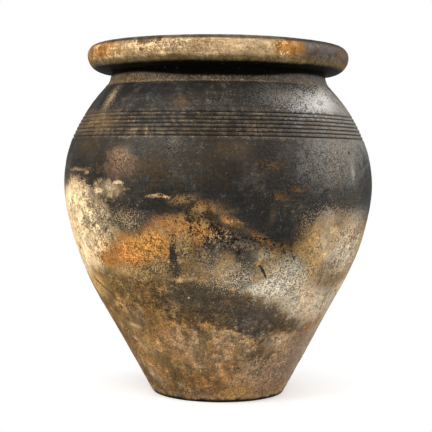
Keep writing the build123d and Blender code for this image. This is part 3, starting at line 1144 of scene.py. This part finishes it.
def soot_cover(g):
    """Colour of the soot."""
    soot = g.mix(g.patches(g.coarse_noise, *COAL_PATCHES), SOOT_AND_SHADE, COAL)
    soot = g.mix(g.patches(g.blotch, *BURNT_PATCHES), soot, UMBER)
    soot = g.mix(g.patches(g.patchy, *DUSK_PATCHES), soot, DUSK)
    return g.varied(soot, g.wheel_streaks, SOOT_STOPS)


def groove_band(g, colour):
    """Colour with the groove band: brown lands, lower lips lighter with wear and a painted highlight, and
    painted shade in the groove bottoms.
    """
    band = g.product(g.fade(g.height, *BAND_FOOT), g.fade(g.height, *BAND_TOP))
    worn_and_lit = g.patches(g.fine_noise, *WORN_AND_LIT_PATCHES)
    colour = g.mix(g.product(band, worn_and_lit, WORN_AND_LIT_SHARE), colour, LAND_BROWN)
    # Lower lips lighter: partly wear, partly a painted highlight where they face the light from above
    colour = g.mix(g.product(g.attribute("lip"), worn_and_lit, WORN_AND_LIT_SHARE), colour, LIP_HIGHLIGHT_BROWN)
    # Painted shade, dark, in the groove bottoms, in patches
    shaded_bottoms = g.patches(g.blotch, *GROOVE_SHADE_PATCHES)
    return g.mix(g.product(g.fade(g.attribute("groove"), *GROOVE_SHADE_MM), shaded_bottoms), colour, SOOT_AND_SHADE)


def neck(g, colour):
    """Colour with the neck, brown above a fine light line, and the share of black painted shadow under the
    rim.
    """
    brown = g.product(g.fade(g.height, *NECK_ZONE), NECK_SHARE)
    colour = g.mix(brown, colour, g.lay(NECK_BROWN, NECK_STAINS))
    from_line = g.math("ABSOLUTE", g.math("SUBTRACT", g.height, NECK_LINE_LEVEL))
    line = g.product(g.fade(from_line, *NECK_LINE_FADE), g.patches(g.coarse_noise, *LINE_PATCHES))
    colour = g.mix(line, colour, NECK_LINE)
    # Painted shadow under the overhanging rim, black, starting higher towards the sides
    shadow_start = g.span(g.fade(g.math("ABSOLUTE", g.azimuth), *SHADOW_AZIMUTHS), *SHADOW_LEVELS)
    above = g.math("SUBTRACT", g.height, shadow_start)
    painted_rim_shadow = g.fade(g.math("MULTIPLY_ADD", g.patchy, SHADOW_WOBBLE, above), *SHADOW_FADE)
    return g.mix(painted_rim_shadow, colour, PAINTED_SHADOW_BLACK), painted_rim_shadow


def rim(g):
    """Colour of the rim, darker below with painted shade, dark on top and pale on its face, and the share
    of it.
    """
    face = g.mix(g.patches(g.coarse_noise, *RIM_PATCHES), GOLD, RIM_BUFF)
    face = g.lay(g.varied(face, g.wheel_streaks, RIM_STOPS), RIM_STAINS)
    face = g.mix(g.product(g.zone(*RIM_CROWN), CROWN_SHARE), face, COAL)
    # Painted shade on the rim's underside, in olive
    face = g.mix(g.zone(*RIM_UNDERSIDE_SHADE), face, OLIVE)
    return face, g.zone(*RIM_ZONE)


def foot(g, colour):
    """Colour with the foot's worn edge, and a black painted contact shadow where it meets the ground."""
    wear = g.product(g.zone(*WEAR_START), g.zone(*WEAR_END), WEAR_SHARE)
    # Black of the painted contact shadow at the ground
    return g.mix(g.zone(*CONTACT_SHADOW_ZONE), g.mix(wear, colour, SAND), SOOT_AND_SHADE)


def scratched(g, colour):
    """Colour with clustered scratches and wipe marks of several slants."""
    across = g.product(g.azimuth, MM_PER_DEGREE)
    clear = g.fade(g.math("ABSOLUTE", g.azimuth), *SCRATCH_SEAM)
    clusters = g.product(clear, g.patches(g.blotch, *SCRATCH_CLUSTERS))
    for number, (slant, length, width, stops) in enumerate(SCRATCHES):
        cosine = math.cos(math.radians(slant))
        sine = math.sin(math.radians(slant))
        long_way = g.math("ADD", g.product(across, cosine), g.product(g.height, sine))
        short_way = g.math("SUBTRACT", g.product(g.height, cosine), g.product(across, sine))
        long_way = g.math("DIVIDE", long_way, length)
        short_way = g.math("DIVIDE", short_way, width)
        unrolled = g.node("CombineXYZ", {0: long_way, 1: short_way, 2: number}).outputs[0]
        marks = g.noise(unrolled, *SCRATCH_NOISE)
        share = g.product(g.patches(marks, *SCRATCH_MARKS), clusters, stops)
        colour = g.scaled(colour, g.math("POWER", 2, share))
    return colour


def gritty(g, colour, sooted):
    """Colour with small light and dark specks of grit."""
    cells = g.node("TexVoronoi", {"Vector": g.place, "Scale": 1 / GRIT_SPACING})
    speck = g.fade(cells.outputs["Distance"], *GRIT_SIZE)
    choice = g.channels(cells.outputs["Color"])[0]
    pale = g.product(speck, g.fade(choice, *PALE_GRIT), g.span(sooted, *PALE_GRIT_SHARES))
    dark = g.product(speck, g.fade(choice, *DARK_GRIT), DARK_GRIT_SHARE)
    return g.mix(dark, g.mix(pale, colour, BUFF), SMOKE)


def inner_colour(g, fine, blotch):
    """Rough clay of the inside."""
    return g.varied(g.mix(blotch, INNER_BROWN, INNER_TAN), fine, INNER_STOPS)


def mottled(g, colour, on_rim):
    """Colour with warm and cool tints, and grain that is calmer low down, on the rim and on pale clay."""
    tint = g.mix(g.patches(g.warmth, *TINT_PATCHES), COOL_TINT, WARM_TINT)
    colour = g.mix(1, colour, tint, "MULTIPLY")
    colour = g.varied(colour, g.coarse_noise, COARSE_STOPS)
    colour = g.varied(colour, g.fine_noise, FINE_STOPS)
    calm = g.math("MAXIMUM", on_rim, g.product(g.fade(g.height, *CALM_ZONE), CALM_SHARE))
    calm = g.math("MAXIMUM", calm, g.fade(g.channels(colour)[0], *CALM_RED))
    colour = g.varied(colour, g.clumps, g.span(calm, *CLUMP_STOPS))
    return g.varied(colour, g.grain, g.span(calm, *GRAIN_STOPS))


def clay_group(slot, stains):
    """Node group with the surface of a slot: colour, roughness, shine and fine relief."""
    g = Wall(slot, stains)
    g.socket("Color", kind="Color")
    for name in ("Roughness", "Specular", "Relief"):
        g.socket(name)
    sooted = soot_share(g)
    colour = g.lay(g.mix(sooted, clay_ground(g), soot_cover(g)), SOOT_STAINS)
    colour, painted_rim_shadow = neck(g, groove_band(g, colour))
    rim_colour, on_rim = rim(g)
    colour = foot(g, g.mix(on_rim, colour, rim_colour))
    colour = gritty(g, scratched(g, colour), sooted)
    colour = g.mix(g.attribute("inside"), colour, inner_colour(g, g.fine_noise, g.blotch))
    colour = mottled(g, colour, on_rim)

    below_rim = g.math("SUBTRACT", 1, on_rim)
    satin = g.product(sooted, below_rim)
    roughness = g.span(satin, CLAY_ROUGHNESS, SOOT_ROUGHNESS)
    roughness = g.math("ADD", roughness, g.signed(g.grain, ROUGHNESS_GRAIN))
    specular = g.span(satin, CLAY_SPECULAR, SOOT_SPECULAR)
    # Less shine in the painted shadow under the rim
    specular = g.product(specular, g.span(g.product(painted_rim_shadow, below_rim), 1, SHADED_SHINE))
    relief = g.math("MULTIPLY_ADD", g.clumps, CLUMP_RELIEF, g.fine_noise)
    sockets = {"Color": colour, "Roughness": roughness, "Specular": specular, "Relief": relief}
    g.node("NodeGroupOutput", sockets)
    return g.tree


def new_tree(owner):
    """Empty node tree of a material or world."""
    owner.use_nodes = True
    owner.node_tree.nodes.clear()
    return Graph(owner.node_tree)


def finish_material(g, colour, roughness, specular, relief):
    """Ends a material with one surface shader over its fine relief."""
    bump = g.node("Bump", {"Height": relief, "Distance": RELIEF_HEIGHT, "Strength": 1})
    sockets = {
        "Base Color": colour,
        "Roughness": roughness,
        "Specular IOR Level": specular,
        "Normal": bump.outputs[0],
    }
    shader = g.node("BsdfPrincipled", sockets)
    g.node("OutputMaterial", {"Surface": shader.outputs[0]})


def clay_material(name, group):
    """Material of one slot."""
    material = bpy.data.materials.new(name)
    g = new_tree(material)
    finish_material(g, *g.node("Group", node_tree=group).outputs)
    return material


def inner_material(name):
    """Material of the coil inside."""
    material = bpy.data.materials.new(name)
    g = new_tree(material)
    place = g.node("TexCoord").outputs["Object"]
    fine = g.noise(place, *FINE_NOISE)
    colour = inner_colour(g, fine, g.noise(place, *BLOTCH_NOISE))
    finish_material(g, colour, INNER_ROUGHNESS, CLAY_SPECULAR, fine)
    return material


def make_floor():
    """Pale floor that turns into the white background away from the jar."""
    half = FLOOR_SIZE / 2
    mesh = bpy.data.meshes.new("floor")
    corners = [(-half, -half, 0), (half, -half, 0), (half, half, 0), (-half, half, 0)]
    mesh.from_pydata(corners, [], [(0, 1, 2, 3)])
    material = bpy.data.materials.new("floor")
    g = new_tree(material)
    place = g.node("TexCoord").outputs["Object"]
    away = g.node("VectorMath", {0: place}, operation="LENGTH").outputs["Value"]
    camera_ray = g.node("LightPath").outputs["Is Camera Ray"]
    diffuse = g.node("BsdfDiffuse", {"Color": (FLOOR_GREY, FLOOR_GREY, FLOOR_GREY, 1)})
    glow = g.node("Emission", {"Strength": g.product(camera_ray, FLOOR_GLOW)})
    lit = g.node("AddShader", {0: diffuse.outputs[0], 1: glow.outputs[0]})
    white = g.node("Emission", {"Strength": 1})
    share = g.product(g.fade(away, *FLOOR_FADE), camera_ray)
    mixed = g.node("MixShader", {0: share, 1: lit.outputs[0], 2: white.outputs[0]})
    g.node("OutputMaterial", {"Surface": mixed.outputs[0]})
    mesh.materials.append(material)
    floor = new_object("floor", mesh)


def make_world():
    """Soft light from all round, and a white background for the camera."""
    world = bpy.data.worlds.new("studio")
    bpy.context.scene.world = world
    g = new_tree(world)
    camera_ray = g.node("LightPath").outputs["Is Camera Ray"]
    soft = g.node("Background", {"Color": (1, 1, 1, 1), "Strength": WORLD_LIGHT})
    backdrop = g.node("Background", {"Color": (1, 1, 1, 1), "Strength": 1})
    mixed = g.node("MixShader", {0: camera_ray, 1: soft.outputs[0], 2: backdrop.outputs[0]})
    g.node("OutputWorld", {"Surface": mixed.outputs[0]})


def make_softbox(name, angle, elevation, distance, width, rise, watts):
    """Area light turned to the belly."""
    lamp = bpy.data.lights.new(name, "AREA")
    lamp.shape = "RECTANGLE"
    lamp.size = width
    lamp.size_y = rise
    lamp.energy = watts
    softbox = new_object(name, lamp)
    turned = Matrix.Rotation(math.radians(angle), 3, "Z")
    raised = Matrix.Rotation(math.radians(-elevation), 3, "X")
    offset = turned @ raised @ Vector((0, -distance, 0))
    softbox.location = LIGHT_TARGET + offset
    softbox.rotation_euler = offset.to_track_quat("Z", "Y").to_euler()


def make_camera():
    """Camera of the photo."""
    camera = new_object("camera", bpy.data.cameras.new("camera"))
    camera.location = (CAMERA_SIDE, -CAMERA_DISTANCE, CAMERA_HEIGHT)
    look = Euler((math.radians(90 - CAMERA_PITCH), 0, 0)).to_matrix()
    roll = Matrix.Rotation(math.radians(CAMERA_ROLL), 3, "Z")
    camera.rotation_euler = (look @ roll).to_euler()
    camera.data.lens = CAMERA_LENS_MM
    bpy.context.scene.camera = camera


# Pieces
stains = stain_group()
materials = {}
for slot in dict.fromkeys(COURSE_SLOTS.values()):
    materials[slot] = clay_material(slot, clay_group(slot, stains))
for node, slot in COURSE_SLOTS.items():
    piece = build_course(node)
    piece.data.materials.append(materials[slot])
    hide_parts(node)
    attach(piece, BODY)
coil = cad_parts[COIL]
coil.data.materials.clear()
coil.data.materials.append(inner_material(COIL_SLOT))

# Stage
make_floor()
make_world()
for softbox in SOFTBOXES:
    make_softbox(*softbox)
make_camera()
bpy.context.scene.view_settings.view_transform = "Standard"
